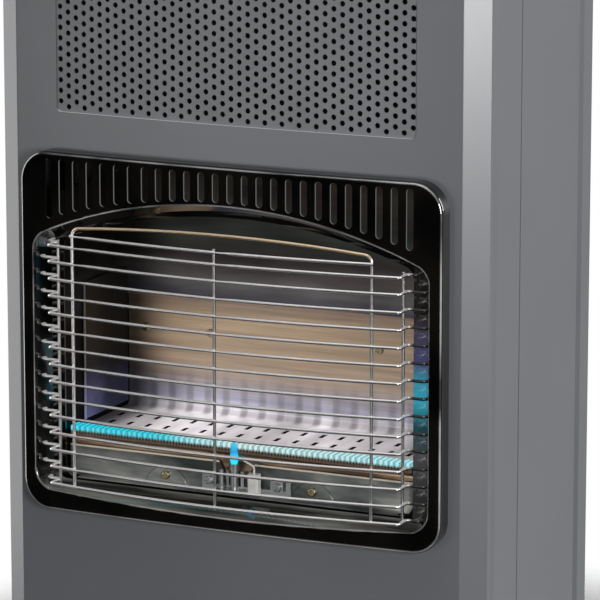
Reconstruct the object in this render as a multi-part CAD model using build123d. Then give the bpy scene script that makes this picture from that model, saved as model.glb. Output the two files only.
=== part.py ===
from build123d import *
import math
import os

# Portable gas cabinet heater with a blue-flame burner, a wire guard and a bay for a gas bottle.
# Millimetres, +Z up, front facing -Y. The pieces are drawn with y = 0 at the middle of the bowed
# front face, then moved so that the origin is on the floor under the centre of the whole heater.

# --- driving dimensions ---
OVERALL_HALF = 201.6        # half width over the chamfered corners of the front
SIDE_HALF = 200.0           # half width over the side panels
FACE_HALF = 184.0           # half width of the bowed front face, up to its chamfers
FACE_RADIUS = 2335.0        # plan radius of the bowed front face
CHAMFER_Y = 18.8            # depth of the chamfer's outer edge
SEAM_Y = 80.0               # where the front casing meets the side panels
BODY_BACK_Y = 221.2         # back of the side panels
BASE_Z = 64.0               # underside of the cabinet, on its castors
CASING_TOP_Z = 704.0        # where the top panel sits on the casing
TOP_Z = 720.0               # top panel's upper face
SHEET = 1.2                 # outer steel sheet
LINER = 1.0                 # inner steel sheet

GRILLE_HALF = 148.6         # outlet opening
GRILLE_BOTTOM, GRILLE_TOP = 491.5, 652.0
HOLE_PITCH, HOLE_RADIUS = 8.0, 2.1

SURROUND_HALF = 175.0       # black surround
SURROUND_BOTTOM, SURROUND_TOP = 183.0, 462.4
SURROUND_CORNER, SURROUND_RISE, SURROUND_SHEET = 23.5, 13.0, 1.6
MOUTH_Y = -14.0             # the fire opening's collar narrows from here back to the ledge
MOUTH_HALF, MOUTH_BOTTOM, MOUTH_APEX = 168.4, 193.5, 433.3
MOUTH_ARCH, MOUTH_CORNER, SILL_BOW = 420.0, 17.0, 4.3
LEDGE_Y = 8.0               # front of the surround's inner ledge
THROAT_HALF, THROAT_BOTTOM, THROAT_APEX = 156.0, 204.5, 423.0
THROAT_ARCH, THROAT_CORNER, THROAT_BOW = 405.0, 12.0, 0.5
INNER_HALF, INNER_BOTTOM, INNER_APEX, INNER_ARCH = 146.0, 206.5, 420.5, 405.0
SLOT_COUNT, SLOT_PITCH, SLOT_WIDTH, SLOT_TOP = 26, 11.96, 5.6, 457.5
SLOT_FOOT_MIDDLE, SLOT_FOOT_END = 435.2, 411.4

WIRE = 2.4                  # guard wire diameter
GUARD_Y, GUARD_RADIUS = -30.0, 824.0
GUARD_HALF, GUARD_UPRIGHT = 145.6, 124.0
GUARD_TOP_WIRE, GUARD_PITCH, GUARD_REGULAR = 379.8, 13.3, 14
GUARD_SECOND_Z, GUARD_INNER_Z, GUARD_ARCH_Z = 392.4, 401.4, 412.0
GUARD_BACK_Y, GUARD_TIP_X, GUARD_TIP_Y = -2.5, 160.0, 6.5
GUARD_SECOND_TIP_X, GUARD_LOWEST_TIP_X = 153.0, 156.0
GUARD_ROD_Y = -5.1          # upright side rods, welded inside the wires' legs
GUARD_SPLIT = 140.0         # where the guard's front grid meets its side returns

FIREBOX_BACK_Y = 115.0
FIREBOX_BOTTOM, FIREBOX_TOP = 195.0, 430.0
REFLECTOR_HALF = 144.5
REFLECTOR_Y, REFLECTOR_FOOT_Z, REFLECTOR_TOP = 112.0, 240.6, 331.0
AIR_SLOT_PITCH = 15.8
REFLECTOR_SCREWS, REFLECTOR_SCREW_Z = (-129.0, -72.0, 72.0, 129.0), 306.0
BURNER_HALF = 143.5
BURNER_FRONT_Y, BURNER_TOP_Z = 12.0, 246.2
BURNER_Y, BURNER_Z = 29.0, 228.0    # middle of the burner body
PORT_PITCH = 2.6
TRAY_Y, TRAY_TOP, TRAY_BOTTOM = 14.0, 231.5, 209.0
SCREW_X, SCREW_Z = 61.7, 215.8
SCREW_HOLE = 2.1            # clearance hole for the shank of a screw
PILOT_X, PILOT_Y = -3.4, 11.8
PILOT_FOOT_Z = 206.7        # underside of the pilot's nut, just above the ledge
ELECTRODE_X, PROBE_X = 14.6, -13.5
PILOT_SCREWS = (-25.0, 32.2)

DIVIDER_Y = 121.0           # sheet between the burner side and the bottle bay
BAY_CENTRE_Y, BAY_RADIUS = 272.0, 152.8
COVER_BOTTOM, COVER_TOP = 78.0, 690.0

KNOB_X, KNOB_Y = 172.0, 96.0
IGNITER_Y = 50.0
CONTROLS_FRONT, CONTROLS_BACK, CONTROLS_HALF = 30.0, 130.0, 24.0
CASTOR_PLACES = {"front_left": (-160.0, 50.0), "front_right": (160.0, 50.0),
                 "rear_left": (-98.0, 346.0), "rear_right": (98.0, 346.0)}
WHEEL_RADIUS, WHEEL_WIDTH, CASTOR_TRAIL = 25.0, 18.0, 18.0
BOLT_SINK = 0.8             # metal left in the base under a castor bolt's flush head

GUARD_FRONT = GUARD_Y - WIRE / 2
COVER_BACK = BAY_CENTRE_Y + BAY_RADIUS + SHEET
FACE_TO_CENTRE = -(GUARD_FRONT + COVER_BACK) / 2


# --- helpers ---
def bow(x):
    """Depth of the bowed front face at a distance x from its middle."""
    return FACE_RADIUS - math.sqrt(FACE_RADIUS ** 2 - x ** 2)


def box(x0, x1, y0, y1, z0, z1):
    """A block between two corners."""
    return Pos((x0 + x1) / 2, (y0 + y1) / 2, (z0 + z1) / 2) * Box(x1 - x0, y1 - y0, z1 - z0)


def rod(x, y, z0, z1, radius):
    """An upright round bar."""
    return Pos(x, y, (z0 + z1) / 2) * Cylinder(radius, z1 - z0)


def rod_y(x, z, y0, y1, radius):
    """A round bar along y."""
    return Pos(x, (y0 + y1) / 2, z) * Rot(90, 0, 0) * Cylinder(radius, y1 - y0)


def rod_x(y, z, x0, x1, radius):
    """A round bar along x."""
    return Pos((x0 + x1) / 2, y, z) * Rot(0, 90, 0) * Cylinder(radius, x1 - x0)


def upright(face, z0, z1):
    """A plan outline raised from z0 to z1."""
    return Pos(0, 0, z0) * extrude(face, z1 - z0)


def prism(face, y0, y1):
    """An outline seen from the front, run back from y0 to y1."""
    return extrude(Plane.XZ.offset(-y0) * face, -(y1 - y0))


def across(face, x0, x1):
    """A side-view outline run across from x0 to x1."""
    return extrude(Plane.YZ.offset(x0) * face, x1 - x0)


def bent_sheet(points, thickness):
    """Outline of a bent sheet: the points are one face, the other face lies to their left."""
    corners = [Vector(*point) for point in points]
    runs = [(b - a).normalized() for a, b in zip(corners, corners[1:])]
    normals = [Vector(-run.Y, run.X) for run in runs]
    far_side = [corners[0] + normals[0] * thickness]
    for before, after, corner in zip(normals, normals[1:], corners[1:-1]):
        mitre = (before + after).normalized()
        far_side.append(corner + mitre * (thickness / mitre.dot(before)))
    far_side.append(corners[-1] + normals[-1] * thickness)
    return make_face(Polyline(*corners, *reversed(far_side), close=True))


def bowed_slab(half, front, back, z0, z1):
    """A slab that follows the bowed face, between two depths behind it."""
    edge = bow(half)
    outline = [ThreePointArc((-half, front + edge), (0, front), (half, front + edge)),
               Line((half, front + edge), (half, back + edge)),
               ThreePointArc((half, back + edge), (0, back), (-half, back + edge)),
               Line((-half, back + edge), (-half, front + edge))]
    return upright(make_face(outline), z0, z1)


def arched_outline(half, bottom, apex, radius, corner, sill_bow=0.0):
    """Front outline with an arched top, rounded corners and a sill that can bow down."""
    shoulder = apex - radius + math.sqrt(radius ** 2 - half ** 2)
    sill_end = bottom + sill_bow
    lines = [Line((-half, sill_end), (-half, shoulder)),
             ThreePointArc((-half, shoulder), (0, apex), (half, shoulder)),
             Line((half, shoulder), (half, sill_end))]
    if sill_bow:
        lines.append(ThreePointArc((half, sill_end), (0, bottom), (-half, sill_end)))
    else:
        lines.append(Line((half, sill_end), (-half, sill_end)))
    face = make_face(lines)
    return fillet(face.vertices(), corner)


def surround_outline():
    """Outer outline of the black surround."""
    height = SURROUND_TOP - SURROUND_BOTTOM
    middle = (SURROUND_TOP + SURROUND_BOTTOM) / 2
    return Pos(0, middle) * RectangleRounded(2 * SURROUND_HALF, height, SURROUND_CORNER)


def throat_outline(growth):
    """Outline of the fire opening where it meets the inner ledge."""
    return arched_outline(THROAT_HALF + growth, THROAT_BOTTOM - growth, THROAT_APEX + growth,
                          THROAT_ARCH, THROAT_CORNER, THROAT_BOW)


def narrowing_mouth(growth):
    """Solid space of the fire opening, from the front mouth back to the throat at the ledge."""
    front = arched_outline(MOUTH_HALF + growth, MOUTH_BOTTOM - growth, MOUTH_APEX + growth,
                           MOUTH_ARCH, MOUTH_CORNER, SILL_BOW)
    return loft([Plane.XZ.offset(-MOUTH_Y) * front, Plane.XZ.offset(-LEDGE_Y) * throat_outline(growth)],
                ruled=True)


def screw_y(x, y, z, head=3.4, shank=2.0, grip=2.0, head_height=2.2):
    """A pan-head screw that faces the front, its head on the plane y."""
    body = rod_y(x, z, y - head_height, y, head)
    body = fillet(body.edges().sort_by(Axis.Y)[0], 0.9)
    body += rod_y(x, z, y, y + grip, shank)
    return body - prism(Pos(x, z) * (Rectangle(4.4, 0.9) + Rectangle(0.9, 4.4)), y - 3, y - 1.2)


# --- cabinet ---
def casing_plan():
    """Outer plan outline of the front casing, from one seam round to the other."""
    half = [(SIDE_HALF, SEAM_Y), (SIDE_HALF, 36.0), (SIDE_HALF - 1.2, 31.0), (SIDE_HALF - 1.2, 27.0),
            (OVERALL_HALF, 22.5), (OVERALL_HALF, CHAMFER_Y), (FACE_HALF, bow(FACE_HALF))]
    mirrored = [(-x, y) for x, y in half]
    face = make_face([Polyline(*half),
                      ThreePointArc(half[-1], (0, 0), mirrored[-1]),
                      Polyline(*mirrored[::-1]),
                      Line(mirrored[0], half[0])])
    corners = [v for v in face.vertices() if v.Y < CHAMFER_Y - 2]
    return fillet(corners, 2.5)


def front_casing():
    """Pressed front with chamfered corners, lipped top and bottom, and its two openings."""
    outer = casing_plan()
    back_strip = Pos(0, SEAM_Y) * Rectangle(2 * (SIDE_HALF - SHEET), 16)
    inner = offset(outer, -SHEET, kind=Kind.INTERSECTION) + back_strip
    lip = outer - (offset(outer, -14, kind=Kind.INTERSECTION) + Pos(0, SEAM_Y) * Rectangle(420, 32))
    casing = upright(outer - inner, BASE_Z + 2, CASING_TOP_Z)
    casing += upright(lip, BASE_Z + 2, BASE_Z + 2 + SHEET)
    casing += upright(lip, CASING_TOP_Z - SHEET, CASING_TOP_Z)
    casing -= prism(grille_opening(), -5, 15)
    return casing - prism(offset(surround_outline(), -7), -5, 15)


def grille_opening():
    """Outlet opening in the front, with small rounded corners."""
    middle = (GRILLE_BOTTOM + GRILLE_TOP) / 2
    return Pos(0, middle) * RectangleRounded(2 * GRILLE_HALF, GRILLE_TOP - GRILLE_BOTTOM, 4.0)


def outlet_grille():
    """Perforated outlet sheet behind the opening: flat strips that follow the bow, round holes."""
    margin, column_pitch = 7.0, HOLE_PITCH * math.sqrt(3) / 2
    folds = [column_pitch * column for column in (2.5, 7.5, 12.5, 17.5)] + [GRILLE_HALF + margin]
    section = [(x, bow(x) + SHEET + 0.1) for x in [-x for x in folds[::-1]] + folds]
    sheet = upright(bent_sheet(section, LINER), GRILLE_BOTTOM - margin, GRILLE_TOP + margin)
    columns = int(GRILLE_HALF / column_pitch)
    rows = int((GRILLE_TOP - GRILLE_BOTTOM) / HOLE_PITCH)
    holes = [rod_y(column * column_pitch,
                   GRILLE_BOTTOM + HOLE_PITCH * (row + 0.5 + 0.5 * (column % 2)),
                   -4, 14, HOLE_RADIUS)
             for column in range(-columns, columns + 1) for row in range(rows)]
    return sheet - holes


def side_panel(side):
    """Painted side sheet: joggled front tab, rear groove and inward rear flange."""
    x = SIDE_HALF
    section = [(158, BODY_BACK_Y), (x, BODY_BACK_Y), (x, 204), (x - 2.5, 201), (x - 2.5, 197),
               (x, 194), (x, SEAM_Y + 0.6), (x - 1.4, SEAM_Y + 0.3), (x - 1.4, 66)]
    panel = upright(bent_sheet(section, -SHEET), BASE_Z + 2, CASING_TOP_Z)
    for z in (150, 560):
        panel -= box(160.0, 170.0, BODY_BACK_Y - 5, BODY_BACK_Y + 5, z, z + 26)
    return panel if side > 0 else mirror(panel, about=Plane.YZ)


def top_plan():
    """Plan outline of the top panel."""
    half = [(OVERALL_HALF, BODY_BACK_Y), (OVERALL_HALF, CHAMFER_Y), (FACE_HALF, bow(FACE_HALF))]
    mirrored = [(-x, y) for x, y in half]
    return make_face([Polyline(*half), ThreePointArc(half[-1], (0, 0), mirrored[-1]),
                      Polyline(*mirrored[::-1]), Line(mirrored[0], half[0])])


def top_panel():
    """Pressed lid with rounded upper edges and a cut-out for the controls."""
    plan = top_plan()
    lid = upright(plan, CASING_TOP_Z, TOP_Z)
    lid = fillet(lid.edges().group_by(Axis.Z)[-1], 5.0)
    inside = upright(offset(plan, -SHEET, kind=Kind.INTERSECTION), CASING_TOP_Z - 1, TOP_Z - SHEET)
    lid -= fillet(inside.edges().group_by(Axis.Z)[-1], 5.0 - SHEET)
    return lid - upright(controls_outline(0), TOP_Z - 4, TOP_Z + 2)


def controls_outline(margin):
    """Plan outline of the control plate, less a margin all round."""
    middle, length = (CONTROLS_FRONT + CONTROLS_BACK) / 2, CONTROLS_BACK - CONTROLS_FRONT
    width = 2 * CONTROLS_HALF
    return Pos(KNOB_X, middle) * RectangleRounded(width - 2 * margin, length - 2 * margin, 8 - margin)


def base_plan(half, front):
    """Plan of the base behind its front: the cabinet's rectangle with the round bay behind."""
    back = BODY_BACK_Y - 2.2
    block = Pos(0, (front + back) / 2) * Rectangle(2 * half, back - front)
    return block + Pos(0, BAY_CENTRE_Y) * Circle(BAY_RADIUS - 1.5)


def base_plate():
    """Base tray that carries the castors and the gas bottle, with a stiffening rim."""
    rim = base_plan(SIDE_HALF - 16, 26)
    bowed_front = offset(casing_plan(), -2.0, kind=Kind.INTERSECTION)
    tray = upright(base_plan(SIDE_HALF - 2, 40) + bowed_front, BASE_Z, BASE_Z + 2)
    tray += upright(rim - offset(rim, -1.5), BASE_Z + 2, BASE_Z + 14)
    bolts = [rod(x + dx, y + dy, BASE_Z - 1, BASE_Z + 3, 2.5)
             for x, y in CASTOR_PLACES.values() for dx in (-14, 14) for dy in (-14, 14)]
    sinks = [rod(x + dx, y + dy, BASE_Z + BOLT_SINK, BASE_Z + 3, 4.4)
             for x, y in CASTOR_PLACES.values() for dx in (-14, 14) for dy in (-14, 14)]
    return tray - bolts - sinks


def divider_panel():
    """Heat shield between the burner and the bottle bay."""
    half = SIDE_HALF - 2.6
    section = [(half, DIVIDER_Y + 14), (half, DIVIDER_Y), (-half, DIVIDER_Y), (-half, DIVIDER_Y + 14)]
    panel = upright(bent_sheet(section, -SHEET), BASE_Z + 14, 700)
    return panel - rod_y(KNOB_X, 665, DIVIDER_Y - 5, DIVIDER_Y + 5, 6.5)


def rear_top_rail():
    """Angle rail that ties the side panels together over the bay."""
    section = [(BODY_BACK_Y - SHEET - 20, CASING_TOP_Z - 0.5), (BODY_BACK_Y - SHEET, CASING_TOP_Z - 0.5),
               (BODY_BACK_Y - SHEET, 660)]
    return across(bent_sheet(section, -SHEET), -(SIDE_HALF - 4), SIDE_HALF - 4)


def rear_screws():
    """Pan-head screws through the side panels' flanges into the rail, heads on the back."""
    places = [(x, z) for x in (-191, -179, 179, 191) for z in (676, 694)]
    screws = []
    for x, z in places:
        head = rod_y(x, z, BODY_BACK_Y, BODY_BACK_Y + 2.2, 3.6)
        screws.append(fillet(head.edges().sort_by(Axis.Y)[-1], 0.9))
    return Compound(children=screws)


def outlet_duct():
    """Hot-air duct from the firebox up to the outlet grille."""
    half, back, front = 152.0, FIREBOX_BACK_Y + 2, 14.0
    section = [(half, front), (half, back), (-half, back), (-half, front)]
    walls = upright(bent_sheet(section, LINER), FIREBOX_TOP + 35, 668)
    neck_section = [(half, front + 24), (half, back), (-half, back), (-half, front + 24)]
    neck = upright(bent_sheet(neck_section, LINER), FIREBOX_TOP, FIREBOX_TOP + 35)
    return walls + neck + box(-half, half, front, back, 668, 669)


def rear_cover():
    """Curved cover over the gas bottle, with a closed top, side flanges, hooks and vent slots."""
    flange_y = BODY_BACK_Y + 0.4
    inner = BAY_RADIUS
    outer = inner + SHEET

    def shell_plan(radius, start):
        block = Pos(0, (start + BAY_CENTRE_Y) / 2) * Rectangle(2 * radius, BAY_CENTRE_Y - start)
        return block + Pos(0, BAY_CENTRE_Y) * Circle(radius) - Pos(0, start - 200) * Rectangle(400, 400)

    def domed(plan, low, high, radius):
        block = upright(plan, low, high)
        rims = [e for e in block.edges().group_by(Axis.Z)[-1] if e.center().Y > flange_y + 1]
        return fillet(rims, radius)

    cover = domed(shell_plan(outer, flange_y), COVER_BOTTOM, COVER_TOP, 8.0)
    cover -= domed(shell_plan(inner, flange_y - 5), COVER_BOTTOM - 1, COVER_TOP - SHEET, 8.0 - SHEET)
    for side in (-1, 1):
        x_inner, x_outer = sorted((side * inner, side * 172.0))
        cover += box(x_inner, x_outer, flange_y, flange_y + SHEET, COVER_BOTTOM, COVER_TOP - 8)
        for z in (150, 560):
            x0, x1 = sorted((side * 162.0, side * 168.0))
            cover += box(x0, x1, BODY_BACK_Y - 4.0, flange_y, z + 0.4, z + 12)
            cover += box(x0, x1, BODY_BACK_Y - 4.0, BODY_BACK_Y - 2.2, z - 9, z + 12)
    slot = RectangleRounded(70, 5, 2.4)
    vents = [prism(Pos(0, z) * slot, BAY_CENTRE_Y + 100, COVER_BACK + 5)
             for low in (110, 600) for z in range(low, low + 61, 12)]
    return cover - vents


# --- fire opening ---
def burner_surround():
    """Enamelled pressing: raised bowed face with rounded rim, vent slots, collar and inner ledge."""
    outline = surround_outline()
    low, high = SURROUND_BOTTOM - 2, SURROUND_TOP + 2
    width = SURROUND_HALF + 4
    body = prism(outline, -30, 20) & bowed_slab(width, -SURROUND_RISE, 0, low, high)
    rim = body.faces().filter_by(lambda f: f.normal_at().Y < -0.9).sort_by(Axis.Y)[0].edges()
    body = fillet(rim, 3.5)
    body -= (prism(offset(outline, -SURROUND_SHEET), -30, 20)
             & bowed_slab(width, -SURROUND_RISE + SURROUND_SHEET, 5, low, high))
    mouth, collar = narrowing_mouth(0.0), narrowing_mouth(SURROUND_SHEET)
    body += collar & bowed_slab(width, -SURROUND_RISE, 60, low, high)
    body += prism(throat_outline(SURROUND_SHEET), LEDGE_Y, LEDGE_Y + SURROUND_SHEET)
    body -= mouth
    lip = [e for e in body.edges() if e.bounding_box().max.Y < -5 and not e.is_closed
           and is_mouth_edge(e)]
    body = fillet(lip, 2.0)
    inner = arched_outline(INNER_HALF, INNER_BOTTOM, INNER_APEX, INNER_ARCH, 10.0)
    body -= prism(inner, LEDGE_Y - 1, LEDGE_Y + 5)
    body -= [slot_cutter(number) for number in range(SLOT_COUNT)]
    holes = [rod_y(side * tip_x, z, -8, LEDGE_Y + 1, WIRE / 2 + 0.05)
             for z, tip_x in cross_wires() for side in (-1, 1)]
    return body - holes


def is_mouth_edge(edge):
    """True for the front edges of the fire opening, which stand on the surround's bowed face."""
    middle = edge @ 0.5
    on_face = abs(middle.Y - (bow(middle.X) - SURROUND_RISE)) < 0.3
    inside = abs(middle.X) < MOUTH_HALF and MOUTH_BOTTOM - 1 < middle.Z < MOUTH_APEX + 1
    return on_face and inside


def slot_cutter(number):
    """Cutter for one upright round-ended vent slot; the slots' feet follow the arch."""
    x = (number - (SLOT_COUNT - 1) / 2) * SLOT_PITCH
    end_x = (SLOT_COUNT - 1) / 2 * SLOT_PITCH
    foot = SLOT_FOOT_MIDDLE - (SLOT_FOOT_MIDDLE - SLOT_FOOT_END) * (x / end_x) ** 2
    slot = Pos(x, (foot + SLOT_TOP) / 2) * Rot(0, 0, 90) * SlotOverall(SLOT_TOP - foot, SLOT_WIDTH)
    return prism(slot, -30, -5)


def guard_front(x):
    """Depth of the guard's front wires at x."""
    return GUARD_Y + GUARD_RADIUS - math.sqrt(GUARD_RADIUS ** 2 - x ** 2)


def round_wire(path):
    """Guard wire swept along a path."""
    section = Plane(origin=path @ 0, z_dir=path % 0) * Circle(WIRE / 2)
    return sweep(section, path)


def cross_wires():
    """Height and tip distance of each full-width guard wire, the second wire from the top last."""
    regular = [(GUARD_TOP_WIRE - GUARD_PITCH * row, GUARD_TIP_X) for row in range(GUARD_REGULAR - 1)]
    lowest = (GUARD_TOP_WIRE - GUARD_PITCH * (GUARD_REGULAR - 1), GUARD_LOWEST_TIP_X)
    return regular + [lowest, (GUARD_SECOND_Z, GUARD_SECOND_TIP_X)]


def front_wire(half):
    """Bowed wire of the guard's front at z = 0, reaching half on both sides."""
    y = guard_front(half)
    return round_wire(ThreePointArc((-half, y), (0, GUARD_Y), (half, y)))


def wire_end(side, tip_x):
    """End of a full-width guard wire at z = 0: bent back, then out to its hooked tip."""
    start, corner = guard_front(GUARD_SPLIT), guard_front(GUARD_HALF)
    middle_x = (GUARD_SPLIT + GUARD_HALF) / 2
    with BuildLine() as path:
        ThreePointArc((side * GUARD_SPLIT, start), (side * middle_x, guard_front(middle_x)),
                      (side * GUARD_HALF, corner))
        Polyline((side * GUARD_HALF, corner), (side * GUARD_HALF, GUARD_BACK_Y),
                 (side * tip_x, GUARD_BACK_Y), (side * tip_x, GUARD_TIP_Y))
        bends = [v for v in path.vertices() if start + 0.5 < v.Y < GUARD_TIP_Y - 1]
        fillet(bends, 2.6)
    return round_wire(path.wires()[0])


def guard_loop():
    """Inner guard loop: two uprights joined by an arched top wire."""
    foot = GUARD_TOP_WIRE - GUARD_PITCH * (GUARD_REGULAR - 1)
    y = guard_front(GUARD_UPRIGHT) + WIRE - 0.2
    x, shoulder = GUARD_UPRIGHT, GUARD_ARCH_Z - 5.0
    with BuildLine(Plane.XZ) as path:
        Line((-x, foot), (-x, shoulder))
        ThreePointArc((-x, shoulder), (0, GUARD_ARCH_Z), (x, shoulder))
        Line((x, shoulder), (x, foot))
        fillet([v for v in path.vertices() if v.Z > foot + 1], 6.0)
    return Pos(0, y, 0) * round_wire(path.wires()[0])


def guard_grid():
    """Front of the guard: bowed wires welded to the inner loop and the middle upright."""
    foot = GUARD_TOP_WIRE - GUARD_PITCH * (GUARD_REGULAR - 1)
    grid = [Pos(0, 0, z) * front_wire(GUARD_SPLIT) for z, tip_x in cross_wires()]
    grid.append(Pos(0, 0, GUARD_INNER_Z) * front_wire(GUARD_UPRIGHT + 1))
    grid.append(guard_loop())
    grid.append(rod(0, GUARD_Y + WIRE - 0.2, foot - 2, GUARD_INNER_Z + 2, WIRE / 2))
    return grid[0].fuse(*grid[1:])


def guard_return(side):
    """Side return of the guard: the wires' hooked ends, joined by an upright side rod."""
    foot = GUARD_TOP_WIRE - GUARD_PITCH * (GUARD_REGULAR - 1)
    ends = [Pos(0, 0, z) * wire_end(side, tip_x) for z, tip_x in cross_wires()]
    side_rod = rod(side * (GUARD_HALF - WIRE + 0.2), GUARD_ROD_Y, foot - 2, GUARD_SECOND_Z + 2, WIRE / 2)
    return side_rod.fuse(*ends)


def wire_guard():
    """Welded guard: a bowed front grid and two side returns, which meet behind the front's ends."""
    return Compound(children=[guard_grid(), guard_return(-1), guard_return(1)])


def firebox_shell():
    """Folded box round the flame, with front flanges behind the surround's ledge."""
    half, front, back = INNER_HALF, LEDGE_Y + SURROUND_SHEET, FIREBOX_BACK_Y
    section = [(half + 16, front + LINER), (half + LINER, front + LINER), (half + LINER, back + LINER),
               (-half - LINER, back + LINER), (-half - LINER, front + LINER), (-half - 16, front + LINER)]
    walls = upright(bent_sheet(section, LINER), FIREBOX_BOTTOM + 5, FIREBOX_TOP)
    floor = box(-half, half, TRAY_Y + 2, back, FIREBOX_BOTTOM + 5, FIREBOX_BOTTOM + 5 + LINER)
    mouth = Pos(BURNER_Y, BURNER_Z) * RectangleRounded(27, 26, 4)
    return walls + floor - across(mouth, half - 3, half + 3)


def reflector():
    """Polished sheet behind the burner: a flat foot with two rows of air slots, then upright."""
    path = [(26.0, REFLECTOR_FOOT_Z), (REFLECTOR_Y, REFLECTOR_FOOT_Z + 1.0), (REFLECTOR_Y, REFLECTOR_TOP),
            (REFLECTOR_Y - 3.0, REFLECTOR_TOP + 3.0)]
    face = bent_sheet(path, 0.8)
    bends = [v for v in face.vertices() if v.X > 100 and v.Y < 260]
    sheet = across(fillet(bends, 5.0), -REFLECTOR_HALF, REFLECTOR_HALF)
    slots = [Pos(x + shift, y, REFLECTOR_FOOT_Z + 1) * Box(4.8, 12.5, 8)
             for x in (AIR_SLOT_PITCH * number for number in range(-8, 10))
             for y, shift in ((55.5, -4.2), (79.0, -8.4))]
    holes = [rod_y(x, REFLECTOR_SCREW_Z, REFLECTOR_Y - 4, REFLECTOR_Y + 1, SCREW_HOLE)
             for x in REFLECTOR_SCREWS]
    return sheet - slots - holes


def reflector_screws():
    """Screws that hold the reflector to the firebox back."""
    screws = [screw_y(x, REFLECTOR_Y - 0.8, REFLECTOR_SCREW_Z, grip=3.8) for x in REFLECTOR_SCREWS]
    return Compound(children=screws)


def burner_tube():
    """Pressed burner body: long box, with a round mixing throat through the right wall."""
    section = Pos(BURNER_Y, BURNER_Z) * RectangleRounded(24, 22, 5)
    bore = Pos(BURNER_Y, BURNER_Z) * RectangleRounded(21.6, 19.6, 4)
    body = across(section, -BURNER_HALF, BURNER_HALF) - across(bore, -BURNER_HALF + 1.2, BURNER_HALF - 1.2)
    body += rod_x(BURNER_Y, BURNER_Z, BURNER_HALF - 1.2, 158, 9.0)
    return body - rod_x(BURNER_Y, BURNER_Z, BURNER_HALF - 2, 159, 7.6)


def burner_port_strip():
    """Toothed port strip along the burner's top, where the flame stands."""
    base_z, tooth_z = 239.0, BURNER_TOP_Z
    count = int(2 * BURNER_HALF / PORT_PITCH)
    outline = [(-BURNER_HALF, base_z), (-BURNER_HALF, tooth_z)]
    for tooth in range(1, count):
        x = -BURNER_HALF + tooth * PORT_PITCH
        outline += [(x - 0.45, tooth_z), (x - 0.45, base_z + 1.2), (x + 0.45, base_z + 1.2),
                    (x + 0.45, tooth_z)]
    outline += [(BURNER_HALF, tooth_z), (BURNER_HALF, base_z)]
    return prism(make_face(Polyline(*outline, close=True)), BURNER_FRONT_Y, BURNER_FRONT_Y + 12)


def burner_brackets():
    """Feet that hold the burner above the firebox floor."""
    foot = FIREBOX_BOTTOM + 5 + LINER
    feet = [box(x, x + 14, 23, 35, foot, 217) for x in (-120, 106)]
    return Compound(children=feet)


def lower_tray():
    """Galvanised fascia under the burner, with a sloping lip, screw dimples and a pilot notch."""
    section = [(5.0, TRAY_BOTTOM - 0.6), (TRAY_Y, TRAY_BOTTOM), (TRAY_Y, TRAY_TOP)]
    tray = across(bent_sheet(section, -LINER), -INNER_HALF + 1, INNER_HALF - 1)
    for side in (-1, 1):
        lip_x0, lip_x1 = sorted((side * (INNER_HALF - 12), side * INNER_HALF))
        tray -= box(lip_x0, lip_x1, 0, TRAY_Y - 1.5, 200, 212)
        dimple = rod_y(side * SCREW_X, 204, TRAY_Y - 1.6, TRAY_Y, 18.5)
        dimple &= box(-150, 150, 10, 20, TRAY_BOTTOM + 0.5, 230)
        tray += fillet(dimple.faces().sort_by(Axis.Y)[0].edges(), 0.8)
    tray -= [rod_y(x, SCREW_Z, TRAY_Y - 3, TRAY_Y + 2, SCREW_HOLE) for x in (-SCREW_X, SCREW_X)]
    tray -= [rod_y(x, SCREW_Z, TRAY_Y - 1, TRAY_Y + 2, SCREW_HOLE) for x in PILOT_SCREWS]
    notch = make_face(Polyline((-18.5, 233), (-11.5, 219), (-8.4, 219), (-8.4, 205), (1.6, 205),
                               (1.6, 219), (5, 219), (14, 233), close=True))
    return tray - prism(notch, TRAY_Y - 7, TRAY_Y + 12)


def tray_screws():
    """Screws in the middle of the fascia's dimples."""
    return Compound(children=[screw_y(x, TRAY_Y - 1.6, SCREW_Z, grip=2.4) for x in (-SCREW_X, SCREW_X)])


# --- pilot ---
def pilot_bracket():
    """Bracket on the fascia that carries the pilot, electrode and flame probe."""
    y0, y1, low = TRAY_Y - 1.2, TRAY_Y, TRAY_BOTTOM + 0.2
    plate = box(-31, 43.4, y0, y1, low, low + 4)
    for x0, x1, top in ((-31, -19, 221), (-11, -8.4, 225), (1.6, 4.2, 225),
                        (26.5, 37, 222), (39.4, 43.4, 221)):
        plate += box(x0, x1, y0, y1, low, top)
    plate += box(PROBE_X - 4, PILOT_X + 7.5, y0 - 9, y0, low + 1, low + 2.2)
    plate -= [rod_y(x, SCREW_Z, y0 - 1, y1 + 1, SCREW_HOLE) for x in PILOT_SCREWS]
    return plate - [rod(PILOT_X, PILOT_Y, 200, 240, 3.2), rod(PROBE_X, PILOT_Y - 1.5, 200, 240, 2.0)]


def pilot_burner():
    """Pilot jet: a slim tube with a hexagon nut and a hooded top."""
    nut = Pos(PILOT_X, PILOT_Y, PILOT_FOOT_Z) * extrude(RegularPolygon(4.0, 6, major_radius=True), 2.5)
    tube = rod(PILOT_X, PILOT_Y, PILOT_FOOT_Z + 1, 227, 3.2)
    hood = rod(PILOT_X, PILOT_Y, 226, 231, 4.0) - rod(PILOT_X, PILOT_Y, 227.5, 233, 3.0)
    return nut + tube + hood - rod_x(PILOT_Y, 218, -15, 8, 1.0)


def spark_electrode():
    """Spark electrode: a white ceramic block with its bent wire tip."""
    y1 = TRAY_Y - 1.2
    ceramic = box(ELECTRODE_X - 4.5, ELECTRODE_X + 4.5, y1 - 7, y1, TRAY_BOTTOM + 0.6, 225.5)
    ceramic = fillet(ceramic.edges().filter_by(Axis.Z), 1.5)
    y = y1 - 3.5
    return ceramic + pipe([(ELECTRODE_X, y, 224), (ELECTRODE_X, y, 231), (ELECTRODE_X - 9, y, 235)], 0.8, 3)


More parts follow.
